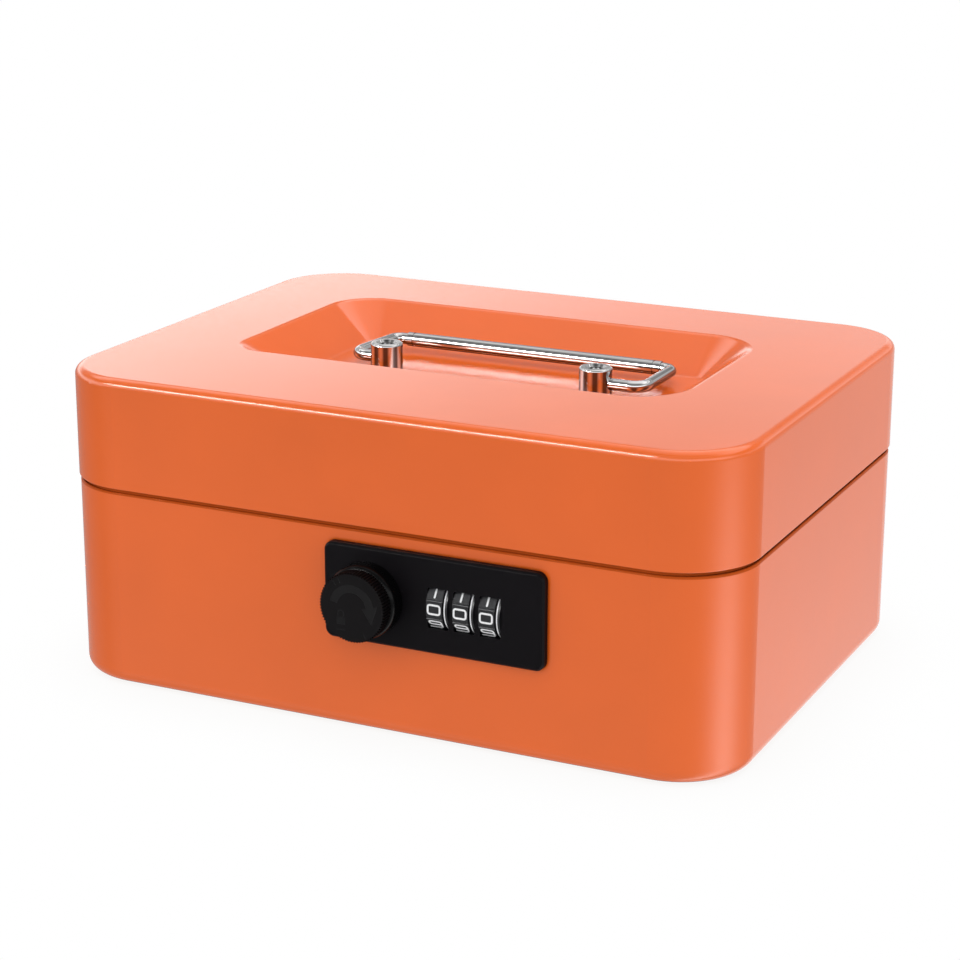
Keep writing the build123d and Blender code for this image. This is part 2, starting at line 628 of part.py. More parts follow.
# leaf with three fingers under the dials
with BuildPart() as detent_spring:
    with BuildSketch(Plane.XY.offset(29.9)):
        with Locations((29.0, -63.3)):
            Rectangle(22.0, 6.0)
    extrude(amount=0.35)
    for x in DIAL_X:
        with BuildSketch(Plane.YZ.offset(x - 1.9)):
            with BuildLine():
                Polyline(
                    (-65.3, 29.9), (-65.3, 30.25), (-66.1, 30.25), (-71.3, 31.05), (-72.6, 31.35),
                    (-73.7, 30.9), (-73.7, 30.55), (-72.6, 31.0), (-71.3, 30.7), (-66.2, 29.9),
                    close=True,
                )
            make_face()
        extrude(amount=3.8)
detent_spring.part.label = "detent_spring"
export_step(detent_spring.part, "parts/detent_spring.step")

# fence bar behind the dials, with one tooth per gate flange
with BuildPart() as fence_bar:
    with BuildSketch(Plane.XY.offset(LOCK_Z - 2.0)):
        with Locations((29.6, -63.0)):
            Rectangle(23.4, 1.4)
        for x in DIAL_X:
            with Locations((x + DIAL_W / 2 + 0.65, -65.9)):
                Rectangle(0.7, 4.8)
    extrude(amount=4.0)
fence_bar.part.label = "fence_bar"
export_step(fence_bar.part, "parts/fence_bar.step")

# ---- lock housing, its screws and the reset lever ----
with BuildPart() as lock_housing:
    with BuildSketch(Plane.XZ.offset(75.0)):
        with Locations((19.75, 40.2)):
            RectangleRounded(63.9, 24.6, 3.0)
        with Locations((KNOB_X, LOCK_Z)):
            Circle(4.6, mode=Mode.SUBTRACT)
    extrude(amount=1.05)
    with BuildSketch(Plane.XZ.offset(58.7)):
        with Locations((31.65, LOCK_Z)):
            RectangleRounded(31.7, 22.0, 1.2)
    extrude(amount=16.5)
    # dial chamber and spring chamber, open to the front
    with BuildSketch(Plane.XZ.offset(59.9)):
        with Locations((29.35, LOCK_Z)):
            Rectangle(24.7, 19.6)
        with Locations((44.55, LOCK_Z)):
            Rectangle(3.5, 19.6)
    extrude(amount=17.6, mode=Mode.SUBTRACT)
    # shaft holes
    with BuildSketch(Plane.YZ.offset(15.2)):
        with Locations((DIAL_Y, LOCK_Z)):
            Circle(1.52)
    extrude(amount=38, mode=Mode.SUBTRACT)
    # slot for the reset lever
    with BuildSketch(Plane.XZ.offset(57.7)):
        with Locations((44.55, LOCK_Z + 4.0)):
            Rectangle(3.3, 3.4)
    extrude(amount=3.0, mode=Mode.SUBTRACT)
    # screw holes in the flange
    with BuildSketch(Plane.XZ.offset(74.0)):
        with Locations(*SCREWS):
            Circle(1.3)
    extrude(amount=3.0, mode=Mode.SUBTRACT)
lock_housing.part.label = "lock_housing"
export_step(lock_housing.part, "parts/lock_housing.step")

with BuildPart() as housing_screws:
    for sx, sz in SCREWS:
        with BuildSketch(Plane.XZ.offset(73.5)):
            with Locations((sx, sz)):
                Circle(2.0)
                Rectangle(2.4, 0.6, mode=Mode.SUBTRACT)
                Rectangle(0.6, 2.4, mode=Mode.SUBTRACT)
        extrude(amount=0.7)
        with BuildSketch(Plane.XZ.offset(74.2)):
            with Locations((sx, sz)):
                Circle(2.0)
        extrude(amount=0.8)
        with BuildSketch(Plane.XZ.offset(75.0)):
            with Locations((sx, sz)):
                Circle(1.1)
        extrude(amount=3.1)
housing_screws.part.label = "housing_screws"
export_step(housing_screws.part, "parts/housing_screws.step")

# code-change slider behind the lock, with a tongue through the slot
with BuildPart() as reset_lever:
    with BuildSketch(Plane.XZ.offset(57.3)):
        with Locations((44.1, LOCK_Z + 4.0)):
            RectangleRounded(8.0, 7.0, 1.0)
    extrude(amount=1.3)
    with BuildSketch(Plane.XZ.offset(56.1)):
        with Locations((44.1, LOCK_Z + 4.0)):
            RectangleRounded(2.0, 6.0, 0.6)
    extrude(amount=1.2)
    with BuildSketch(Plane.XZ.offset(58.6)):
        with Locations((43.7, LOCK_Z + 4.0)):
            Rectangle(1.4, 3.0)
    extrude(amount=3.0)
reset_lever.part.label = "reset_lever"
export_step(reset_lever.part, "parts/reset_lever.step")

# ---- strike: bent plate spot-welded inside the lid front, with a lip for the latch arm ----
STRIKE_X0, STRIKE_X1 = 6.6, 14.6
STRIKE_Y = -72.0
with BuildPart() as lid_strike:
    with BuildSketch(Plane.YZ.offset(STRIKE_X0)):
        with BuildLine():
            Polyline(
                (-(HY - SHEET), 84.0), (-(HY - SHEET) + 1.0, 84.0), (-(HY - SHEET) + 1.0, 69.6),
                (STRIKE_Y + 1.0, 69.6), (STRIKE_Y + 1.0, 35.3), (-66.0, 35.3), (-66.0, 34.3),
                (STRIKE_Y, 34.3), (STRIKE_Y, 68.6), (-(HY - SHEET), 68.6),
                close=True,
            )
        make_face()
    extrude(amount=STRIKE_X1 - STRIKE_X0)
    fillet(
        lid_strike.edges().filter_by(Axis.X).filter_by(
            lambda e: (abs(e.center().Y + (HY - SHEET)) < 0.01 and abs(e.center().Z - 68.6) < 0.01)
            or (abs(e.center().Y - STRIKE_Y) < 0.01 and abs(e.center().Z - 34.3) < 0.01)
            or (abs(e.center().Y - STRIKE_Y - 1.0) < 0.01 and abs(e.center().Z - 69.6) < 0.01)
        ),
        0.9,
    )
lid_strike.part.label = "lid_strike"
export_step(lid_strike.part, "parts/lid_strike.step")

# ---- removable tray and the two ledges it rests on ----
TRAY_X, TRAY_Y0, TRAY_Y1 = 99.3, -54.6, 73.4
TRAY_RIM_Z, TRAY_TOP, TRAY_BASE = 53.7, 55.7, 33.0
LEDGE_Z = 53.6
CUP_Y0, CUP_Y1 = -51.2, 2.5
cup_w = 35.0
cup_pitch = 37.1
with BuildPart() as coin_tray:
    with BuildSketch(Plane.XY.offset(TRAY_BASE)):
        with Locations((0, (TRAY_Y0 + TRAY_Y1) / 2)):
            RectangleRounded(2 * 93.6, TRAY_Y1 - TRAY_Y0 - 3.4, 12.0)
    extrude(amount=TRAY_TOP - TRAY_BASE)
    fillet(coin_tray.faces().sort_by(Axis.Z)[0].edges(), 2.0)
    with BuildSketch(Plane.XY.offset(TRAY_RIM_Z)):
        with Locations((0, (TRAY_Y0 + TRAY_Y1) / 2)):
            RectangleRounded(2 * TRAY_X, TRAY_Y1 - TRAY_Y0, 18.5)
    extrude(amount=TRAY_TOP - TRAY_RIM_Z)
    fillet(coin_tray.faces().sort_by(Axis.Z)[-1].edges(), 0.6)
    # five coin cups with scooped floors
    for k in range(5):
        cx = (k - 2) * cup_pitch
        with BuildSketch(Plane.YZ.offset(cx - cup_w / 2)):
            with BuildLine():
                l1 = Line((CUP_Y0, TRAY_TOP + 1), (CUP_Y0, 45.0))
                l2 = ThreePointArc((CUP_Y0, 45.0), ((CUP_Y0 + CUP_Y1) / 2, 34.6), (CUP_Y1, 45.0))
                l3 = Line((CUP_Y1, 45.0), (CUP_Y1, TRAY_TOP + 1))
                l4 = Line((CUP_Y1, TRAY_TOP + 1), (CUP_Y0, TRAY_TOP + 1))
            make_face()
        extrude(amount=cup_w, mode=Mode.SUBTRACT)
    # three note and sundries wells
    for cx, w in ((-61.6, 60.0), (0.0, 60.0), (61.6, 60.0)):
        with BuildSketch(Plane.XY.offset(34.6)):
            with Locations((cx, 37.0)):
                RectangleRounded(w, 65.0, 9.0)
        extrude(amount=30, mode=Mode.SUBTRACT)
coin_tray.part.label = "coin_tray"
export_step(coin_tray.part, "parts/coin_tray.step")

for side, tag in ((-1, "left"), (1, "right")):
    with BuildPart() as ledge:
        with BuildSketch(Plane.XZ.offset(48.0)):
            with BuildLine():
                Polyline(
                    (side * (BX - SHEET), LEDGE_Z), (side * 95.0, LEDGE_Z), (side * 95.0, LEDGE_Z - 0.8),
                    (side * (BX - SHEET - 0.8), LEDGE_Z - 0.8), (side * (BX - SHEET - 0.8), 43.0),
                    (side * (BX - SHEET), 43.0),
                    close=True,
                )
            make_face()
        extrude(amount=-96.0)
    ledge.part.label = "tray_support_" + tag
    export_step(ledge.part, "parts/tray_support_" + tag + ".step")
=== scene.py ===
import bpy, bmesh, json, math
from mathutils import Vector, Matrix


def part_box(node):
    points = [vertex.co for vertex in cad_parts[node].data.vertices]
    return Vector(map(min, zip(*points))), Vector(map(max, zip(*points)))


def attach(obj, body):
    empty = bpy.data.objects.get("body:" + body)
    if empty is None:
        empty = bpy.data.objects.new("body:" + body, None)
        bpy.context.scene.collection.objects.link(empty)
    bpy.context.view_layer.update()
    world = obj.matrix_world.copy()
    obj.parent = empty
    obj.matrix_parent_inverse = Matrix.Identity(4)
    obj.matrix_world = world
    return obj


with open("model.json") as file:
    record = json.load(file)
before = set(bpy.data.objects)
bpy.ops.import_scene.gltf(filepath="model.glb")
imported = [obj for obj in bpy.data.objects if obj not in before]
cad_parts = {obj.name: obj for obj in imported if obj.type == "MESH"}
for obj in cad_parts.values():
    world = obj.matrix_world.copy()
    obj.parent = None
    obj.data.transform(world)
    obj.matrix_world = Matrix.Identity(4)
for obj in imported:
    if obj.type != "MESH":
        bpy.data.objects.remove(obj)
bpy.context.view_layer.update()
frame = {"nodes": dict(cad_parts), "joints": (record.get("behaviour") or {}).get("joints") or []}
N = frame["nodes"]
MM = 0.001


# ------------------------------------------------------------------ node helpers
class Mat:
    """A node material with object-space coordinates, so every pattern has its real size."""

    def __init__(self, name):
        self.m = bpy.data.materials.new(name)
        self.m.use_nodes = True
        self.t = self.m.node_tree
        self.t.nodes.clear()
        self.out = self.t.nodes.new("ShaderNodeOutputMaterial")
        self.b = self.t.nodes.new("ShaderNodeBsdfPrincipled")
        self.link(self.b.outputs[0], self.out.inputs[0])
        self.co = self.t.nodes.new("ShaderNodeTexCoord").outputs["Object"]

    def link(self, a, b):
        self.t.links.new(a, b)

    def node(self, kind, **props):
        n = self.t.nodes.new(kind)
        for k, v in props.items():
            setattr(n, k, v)
        return n

    def scaled(self, s):
        n = self.node("ShaderNodeVectorMath", operation="MULTIPLY")
        self.link(self.co, n.inputs[0])
        n.inputs[1].default_value = s
        return n.outputs[0]

    def noise(self, scale, detail=2.0, rough=0.5, vec=None, dist=0.0):
        n = self.node("ShaderNodeTexNoise")
        self.link(vec or self.co, n.inputs["Vector"])
        n.inputs["Scale"].default_value = scale
        n.inputs["Detail"].default_value = detail
        n.inputs["Roughness"].default_value = rough
        n.inputs["Distortion"].default_value = dist
        return n.outputs["Fac"]

    def remap(self, v, a, b, c, d, smooth=False):
        n = self.node("ShaderNodeMapRange")
        if smooth:
            n.interpolation_type = "SMOOTHSTEP"
        self.link(v, n.inputs[0])
        for i, x in zip((1, 2, 3, 4), (a, b, c, d)):
            n.inputs[i].default_value = x
        return n.outputs[0]

    def math(self, op, a, b=None, clamp=False):
        n = self.node("ShaderNodeMath", operation=op)
        n.use_clamp = clamp
        for i, v in enumerate((a, b)):
            if v is None:
                continue
            if isinstance(v, (int, float)):
                n.inputs[i].default_value = v
            else:
                self.link(v, n.inputs[i])
        return n.outputs[0]

    def mix(self, fac, a, b):
        n = self.node("ShaderNodeMix", data_type="RGBA")
        if isinstance(fac, (int, float)):
            n.inputs[0].default_value = fac
        else:
            self.link(fac, n.inputs[0])
        for i, v in ((6, a), (7, b)):
            if isinstance(v, tuple):
                n.inputs[i].default_value = (*v, 1.0)
            else:
                self.link(v, n.inputs[i])
        return n.outputs[2]

    def bump(self, h, strength, distance, normal=None):
        n = self.node("ShaderNodeBump")
        n.inputs["Strength"].default_value = strength
        n.inputs["Distance"].default_value = distance
        self.link(h, n.inputs["Height"])
        if normal is not None:
            self.link(normal, n.inputs["Normal"])
        return n.outputs[0]

    def edge(self, radius, lo=0.02, hi=0.25):
        """0 on flat areas, towards 1 along edges."""
        bv = self.node("ShaderNodeBevel")
        bv.samples = 4
        bv.inputs["Radius"].default_value = radius
        g = self.node("ShaderNodeNewGeometry")
        d = self.node("ShaderNodeVectorMath", operation="DOT_PRODUCT")
        self.link(bv.outputs[0], d.inputs[0])
        self.link(g.outputs["Normal"], d.inputs[1])
        return self.remap(self.math("SUBTRACT", 1.0, d.outputs["Value"]), lo, hi, 0.0, 1.0)

    def axis(self, i):
        s = self.node("ShaderNodeSeparateXYZ")
        self.link(self.co, s.inputs[0])
        return s.outputs[i]

    def set(self, **k):
        for key, v in k.items():
            s = self.b.inputs[key.replace("_", " ")]
            if isinstance(v, (int, float)):
                s.default_value = v
            elif isinstance(v, tuple):
                s.default_value = (*v, 1.0)
            else:
                self.link(v, s)
        return self


# ------------------------------------------------------------------ materials
ORANGE = (0.80, 0.128, 0.012)


def paint(name, base=ORANGE, rough=0.17):
    m = Mat(name)
    big = m.noise(26.0, 3.0)
    fine = m.noise(420.0, 2.0)
    lo = tuple(c * 0.965 for c in base)
    hi = tuple(min(1.0, c * 1.03) for c in base)
    col = m.mix(m.remap(big, 0.3, 0.7, 0.0, 1.0), lo, hi)
    # the powder coat thins a little along the pressed edges
    e = m.edge(0.9 * MM, 0.04, 0.5)
    worn = m.math("MULTIPLY", e, m.remap(m.noise(330.0, 4.0), 0.45, 0.62, 0.0, 0.35))
    col = m.mix(worn, col, (0.86, 0.20, 0.045))
    # painted shade: from ambient occlusion the colour goes near-black in the narrow joint under the skirt
    ao = m.node("ShaderNodeAmbientOcclusion")
    ao.samples = 8
    ao.inputs["Distance"].default_value = 1.6 * MM
    col = m.mix(m.remap(ao.outputs["AO"], 0.72, 0.40, 0.0, 0.96, smooth=True), col, (0.030, 0.007, 0.003))
    m.b.inputs["Specular IOR Level"].default_value = 0.5
    # painted shade: a darker band at the seam height (z 56.75 to 58.5 mm) on the shoulder under the skirt; the
    # same band also takes the specular away there
    geo, pz = m.node("ShaderNodeNewGeometry"), m.node("ShaderNodeSeparateXYZ")
    m.link(geo.outputs["Position"], pz.inputs[0])
    seam_shade_band = m.math("MULTIPLY", m.remap(pz.outputs[2], 56.75 * MM, 57.0 * MM, 0.0, 0.95), m.remap(pz.outputs[2], 58.5 * MM, 58.2 * MM, 0.0, 1.0))
    col = m.mix(m.math("MULTIPLY", seam_shade_band, 0.55), col, (0.20, 0.035, 0.008))
    shine = m.remap(ao.outputs["AO"], 0.60, 0.86, 0.02, 0.5, smooth=True)
    m.link(m.math("MULTIPLY", shine, m.math("SUBTRACT", 1.0, seam_shade_band)), m.b.inputs["Specular IOR Level"])
    r = m.math("ADD", m.remap(fine, 0.3, 0.7, rough - 0.015, rough + 0.02), m.remap(big, 0.35, 0.7, 0.0, 0.02))
    r = m.math("ADD", r, m.math("MULTIPLY", worn, 0.12))
    peel = m.noise(760.0, 1.5, 0.4)
    grit = m.noise(5200.0, 1.0)
    nrm = m.bump(peel, 0.05, 0.10 * MM)
    nrm = m.bump(grit, 0.02, 0.02 * MM, nrm)
    m.set(Base_Color=col, Roughness=r, Normal=nrm, IOR=1.52)
    return m.m


def metal(name, base, rough, var=0.06, stretch=(1, 1, 1), spangle=0.0, bump=0.02, dirt=0.0):
    m = Mat(name)
    v = m.scaled(stretch)
    n1 = m.noise(900.0, 3.0, 0.6, v)
    n2 = m.noise(60.0, 2.0)
    lo = tuple(c * (1 - var) for c in base)
    hi = tuple(min(1.0, c * (1 + var)) for c in base)
    col = m.mix(m.remap(n2, 0.3, 0.7, 0.0, 1.0), lo, hi)
    if spangle:
        vo = m.node("ShaderNodeTexVoronoi")
        m.link(m.co, vo.inputs["Vector"])
        vo.inputs["Scale"].default_value = 420.0
        s = m.node("ShaderNodeSeparateColor")
        m.link(vo.outputs["Color"], s.inputs[0])
        col = m.mix(m.math("MULTIPLY", s.outputs[0], spangle), col, tuple(c * 0.72 for c in base))
    if dirt:
        d = m.math("MULTIPLY", m.remap(m.noise(150.0, 5.0), 0.5, 0.72, 0.0, 1.0), dirt)
        col = m.mix(d, col, tuple(c * 0.45 for c in base))
    r = m.remap(n1, 0.25, 0.75, rough * 0.75, rough * 1.3)
    m.set(Base_Color=col, Metallic=1.0, Roughness=r, Normal=m.bump(n1, bump, 0.05 * MM))
    return m.m


def plastic(name, base, rough, spec=0.3, grain=2600.0, depth=0.25, var=0.15, painted_edge_highlight=0.0):
    m = Mat(name)
    big = m.noise(45.0, 3.0)
    g = m.noise(grain, 2.0, 0.55)
    col = m.mix(m.remap(big, 0.3, 0.7, 0.0, 1.0), tuple(c * (1 - var) for c in base), tuple(c * (1 + var) for c in base))
    # painted highlight: the colour goes lighter along the edges, where a bevel would catch the light
    if painted_edge_highlight:
        e = m.edge(0.35 * MM, 0.03, 0.45)
        col = m.mix(m.math("MULTIPLY", e, painted_edge_highlight), col, tuple(min(1.0, c * 4 + 0.02) for c in base))
    r = m.remap(g, 0.3, 0.7, rough - 0.05, rough + 0.06)
    m.set(Base_Color=col, Roughness=r, Normal=m.bump(g, depth, 0.03 * MM))
    m.b.inputs["Specular IOR Level"].default_value = spec
    return m.m


M_PAINT = paint("orange_powder_coat")
M_PAINT_IN = paint("orange_powder_coat_inside", rough=0.26)
def chrome_material():
    m = Mat("chrome_plate")
    n1 = m.noise(900.0, 3.0, 0.6)
    n2 = m.noise(60.0, 2.0)
    col = m.mix(m.remap(n2, 0.3, 0.7, 0.0, 1.0), (0.72, 0.71, 0.71), (0.78, 0.77, 0.77))
    # painted reflection: the base colour follows the direction of the reflected ray, so the chrome shows dark
    # studio stripes and bands that no lamp or object makes
    refl = m.node("ShaderNodeTexCoord").outputs["Reflection"]
    sp = m.node("ShaderNodeSeparateXYZ")
    m.link(refl, sp.inputs[0])
    az = m.math("ARCTAN2", sp.outputs[0], m.math("MULTIPLY", sp.outputs[1], -1.0))
    stripe = m.math("COSINE", m.math("MULTIPLY", m.math("ADD", az, -0.95), 5.0))
    stripe = m.remap(stripe, -0.5, 0.95, 0.16, 1.0)
    dark = m.node("ShaderNodeVectorMath", operation="SCALE")
    m.link(col, dark.inputs[0])
    m.link(stripe, dark.inputs["Scale"])
    # painted reflection: where the ray looks down, the colour takes the stripes by bearing; where it looks up, it
    # takes bands by height
    below = m.remap(sp.outputs[2], -0.04, -0.22, 0.0, 1.0, smooth=True)
    band = m.node("ShaderNodeValToRGB")
    while len(band.color_ramp.elements) < 9:
        band.color_ramp.elements.new(0.5)
    for e, (z, v) in zip(band.color_ramp.elements, ((-0.10, 0.55), (0.05, 0.34), (0.28, 0.34), (0.36, 1.0), (0.58, 1.0), (0.66, 0.42), (0.70, 0.14), (0.76, 0.50), (1.0, 0.56))):
        e.position = (z + 1.0) / 2.0
        e.color = (v, v, v, 1.0)
    m.link(m.math("MULTIPLY", m.math("ADD", sp.outputs[2], 1.0), 0.5), band.inputs[0])
    painted_reflection_bands = m.node("ShaderNodeVectorMath", operation="MULTIPLY")
    m.link(col, painted_reflection_bands.inputs[0])
    m.link(band.outputs[0], painted_reflection_bands.inputs[1])
    col = m.mix(below, painted_reflection_bands.outputs[0], dark.outputs[0])
    r = m.remap(n1, 0.25, 0.75, 0.035, 0.06)
    m.set(Base_Color=col, Metallic=1.0, Roughness=r, Normal=m.bump(n1, 0.006, 0.05 * MM))
    return m.m


M_CHROME = chrome_material()
M_ZINC = metal("zinc_plate", (0.56, 0.57, 0.60), 0.30, 0.05, (1, 1, 1), spangle=0.5, bump=0.03, dirt=0.15)
M_SPRING = metal("spring_steel", (0.40, 0.41, 0.44), 0.24, 0.06, (1, 1, 4), bump=0.03, dirt=0.2)
M_BRASS = metal("turned_brass", (0.74, 0.52, 0.20), 0.22, 0.06, (6, 1, 1), bump=0.05, dirt=0.15)
M_PLATE = plastic("black_plate_plastic", (0.0030, 0.0024, 0.0032), 0.40, spec=0.07, grain=3000.0, depth=0.30, painted_edge_highlight=0.5)
M_KNOB = plastic("black_knob_plastic", (0.0036, 0.0030, 0.0034), 0.38, spec=0.085, grain=2200.0, depth=0.22, painted_edge_highlight=0.05)
M_COLLAR = plastic("gloss_collar_plastic", (0.0014, 0.0014, 0.0016), 0.24, spec=0.08, grain=1500.0, depth=0.20)
M_MARK = plastic("knob_mark_plastic", (0.0053, 0.0049, 0.0053), 0.34, spec=0.14, grain=1800.0, depth=0.15)
M_HOUSING = plastic("housing_plastic", (0.020, 0.020, 0.022), 0.5, spec=0.3, grain=1600.0, depth=0.35)
M_TRAY = plastic("tray_plastic", (0.018, 0.018, 0.020), 0.46, spec=0.35, grain=1100.0, depth=0.45)


def dial_material():
    """Satin black barrel; the number facets carry fine turned ribs that catch the light."""
    m = Mat("dial_plastic")
    x = m.axis(0)
    ribs = m.math("SINE", m.math("MULTIPLY", x, 2 * math.pi / (0.32 * MM)))
    g = m.noise(2600.0, 2.0)
    h = m.math("ADD", m.math("MULTIPLY", ribs, 0.5), m.math("MULTIPLY", g, 0.4))
    col = m.mix(m.remap(g, 0.3, 0.7, 0.0, 1.0), (0.0050, 0.0050, 0.0062), (0.012, 0.012, 0.014))
    r = m.remap(ribs, -1.0, 1.0, 0.30, 0.42)
    m.set(Base_Color=col, Roughness=r, Normal=m.bump(h, 0.35, 0.03 * MM))
    m.b.inputs["Specular IOR Level"].default_value = 0.36
    return m.m


def ink_material():
    m = Mat("white_number_ink")
    n = m.noise(1500.0, 3.0)
    col = m.mix(m.remap(n, 0.35, 0.7, 0.0, 1.0), (0.80, 0.80, 0.81), (0.93, 0.93, 0.94))
    m.set(Base_Color=col, Roughness=m.remap(n, 0.3, 0.7, 0.38, 0.5), Normal=m.bump(n, 0.15, 0.03 * MM))
    return m.m


M_DIAL = dial_material()
M_INK = ink_material()

ASSIGN = {
    "box_body": M_PAINT, "lid": M_PAINT, "tray_support_left": M_PAINT_IN, "tray_support_right": M_PAINT_IN,
    "handle_post_left": M_CHROME, "handle_post_right": M_CHROME, "bail_wire": M_CHROME, "grip_sleeve": M_CHROME,
    "lock_faceplate": M_PLATE, "knob": M_KNOB, "knob_collar": M_COLLAR,
    "dial_1": M_DIAL, "dial_2": M_DIAL, "dial_3": M_DIAL,
    "lock_housing": M_HOUSING, "reset_lever": M_HOUSING, "coin_tray": M_TRAY,
    "shaft_spring": M_SPRING, "detent_spring": M_SPRING,
    "code_sleeve_1": M_BRASS, "code_sleeve_2": M_BRASS, "code_sleeve_3": M_BRASS,
}
for name, obj in N.items():
    mat = ASSIGN.get(name, M_ZINC)
    if len(obj.data.materials) == 0:
        obj.data.materials.append(mat)
    for i in range(len(obj.data.materials)):
        obj.data.materials[i] = mat


# ------------------------------------------------------------------ mesh helpers
def finish_mesh(name, bm, mat, body, smooth_deg=35.0):
    bmesh.ops.remove_doubles(bm, verts=bm.verts, dist=1e-7)
    bmesh.ops.recalc_face_normals(bm, faces=bm.faces)
    me = bpy.data.meshes.new(name)
    bm.to_mesh(me)
    bm.free()
    for p in me.polygons:
        p.use_smooth = False
    me.materials.append(mat)
    ob = bpy.data.objects.new(name, me)
    bpy.context.scene.collection.objects.link(ob)
    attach(ob, body)
    return ob


def rounded(points, r, closed, steps=5):
    """Polyline with its corners rounded to radius r."""
    n = len(points)
    out = []
    for i, p in enumerate(points):
        if not closed and i in (0, n - 1):
            out.append(Vector(p))
            continue
        a, b, c = Vector(points[i - 1]), Vector(p), Vector(points[(i + 1) % n])
        u, v = (a - b), (c - b)
        lu, lv = u.length, v.length
        u.normalize(); v.normalize()
        ang = u.angle(v)
        if ang > 3.1:
            out.append(b)
            continue
        t = min(r / math.tan(ang / 2), lu * 0.49, lv * 0.49)
        rr = t * math.tan(ang / 2)
        centre = b + (u + v).normalized() * (rr / math.sin(ang / 2))
        s, e = b + u * t - centre, b + v * t - centre
        for k in range(steps + 1):
            q = s.lerp(e, k / steps).normalized() * rr
            out.append(centre + q)
    return out


def stroke(bm, pts, closed, hw, place, h0, h1):
    """A raised line of half width hw along a 2-D polyline; place(x, y, h) puts it on the surface. Closed shell."""
    pts = [Vector(p) for p in pts]
    secs = []
    n = len(pts)
    for i, p in enumerate(pts):
        a = pts[i - 1] if (closed or i) else p
        b = pts[(i + 1) % n] if (closed or i < n - 1) else p
        d = (b - a).normalized()
        nn = Vector((-d.y, d.x))
        secs.append((p, nn, hw))
    if not closed:
        for end in (0, -1):
            p, nn, _ = secs[end]
            d = Vector((nn.y, -nn.x)) * (1 if end == -1 else -1)
            caps = [(p + d * hw * math.sin(f), nn, hw * math.cos(f)) for f in (0.5, 0.95, 1.3)]
            secs = ([c for c in reversed(caps)] + secs) if end == 0 else (secs + caps)
    rows = []
    for p, nn, w in secs:
        lip = 0.22 * min(w, h1 - h0) if w > 0 else 0
        prof = [(-w, h0), (-w, h1 - lip), (-w + lip, h1), (w - lip, h1), (w, h1 - lip), (w, h0)]
        rows.append([bm.verts.new(place(*(p + nn * o), h)) for o, h in prof])
    m = len(rows)
    k = len(rows[0])
    for i in range(m if closed else m - 1):
        A, B = rows[i], rows[(i + 1) % m]
        for j in range(k):
            bm.faces.new((A[j], A[(j + 1) % k], B[(j + 1) % k], B[j]))
    if not closed:
        bm.faces.new(rows[0])
        bm.faces.new(list(reversed(rows[-1])))


# ------------------------------------------------------------------ dial numbers
W, H = 1.76, 1.25
GLYPHS = {
    0: [([(-W, -H), (W, -H), (W, H), (-W, H)], True)],
    1: [([(0, -1.42), (0, 1.42)], False)],
    2: [([(-W, H), (W, H), (W, 0), (-W, 0), (-W, -H), (W, -H)], False)],
    3: [([(-W, H), (W, H), (W, -H), (-W, -H)], False), ([(-0.8, 0), (W - 0.2, 0)], False)],
    4: [([(-W, H), (-W, -0.3), (W, -0.3)], False), ([(0.7, H), (0.7, -H)], False)],
    5: [([(W, H), (-W, H), (-W, 0), (W, 0), (W, -H), (-W, -H)], False)],
    6: [([(-W, -H), (W, -H), (W, 0), (-W, 0)], True), ([(-W, -0.5), (-W, H), (W, H)], False)],
    7: [([(-W, H), (W, H), (0, -H)], False)],
    8: [([(-W, -H), (W, -H), (W, H), (-W, H)], True), ([(-W + 0.2, 0), (W - 0.2, 0)], False)],
    9: [([(-W, H), (W, H), (W, 0), (-W, 0)], True), ([(W, 0.5), (W, -H), (-W, -H)], False)],
}
DIALS = [j for j in frame["joints"] if j["name"].startswith("dial_")]
APOTHEM = 7.95 * math.cos(math.radians(18))
for j in DIALS:
    i = int(j["name"].split("_")[1])
    cx, cy, cz = (c / MM for c in j["pos_m"])
    bm = bmesh.new()
    for digit, strokes in GLYPHS.items():
        a = math.radians(36 * digit)
        n = Vector((0, -math.cos(a), math.sin(a)))
        u = Vector((0, math.sin(a), math.cos(a)))
        x = Vector((1, 0, 0))
        c = Vector((cx - 0.75, cy, cz))

        def place(px, py, h, c=c, x=x, u=u, n=n):
            return (c + x * px + u * py + n * (APOTHEM + h)) * MM

        for k, (pts, closed) in enumerate(strokes):
            stroke(bm, rounded(pts, 0.62, closed), closed, 0.27, place, -0.06, 0.055 - 0.006 * k)
    finish_mesh("dial_%d_numerals" % i, bm, M_INK, j["child"])
    # a thin white raised ring round the right-hand rim, in the number ink
    bm = bmesh.new()
    prof = [(2.09, 7.20), (2.09, 7.39), (2.14, 7.42), (2.36, 7.42), (2.41, 7.39), (2.41, 7.20)]
    rows = []
    for s in range(96):
        a = 2 * math.pi * s / 96
        rows.append([bm.verts.new(Vector((cx + px, cy - r * math.cos(a), cz + r * math.sin(a))) * MM) for px, r in prof])
    for s in range(96):
        A, B = rows[s], rows[(s + 1) % 96]
        for k in range(6):
            bm.faces.new((A[k], A[(k + 1) % 6], B[(k + 1) % 6], B[k]))
    finish_mesh("dial_%d_rim_line" % i, bm, M_INK, j["child"])

# ------------------------------------------------------------------ marks on the knob face
KJ = next(j for j in frame["joints"] if j["name"] == "knob_turn")
kx, kz = KJ["pos_m"][0] / MM, KJ["pos_m"][2] / MM
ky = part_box("knob")[0].y / MM


def on_knob(px, py, h):
    return Vector((kx + px, ky - h, kz + py)) * MM


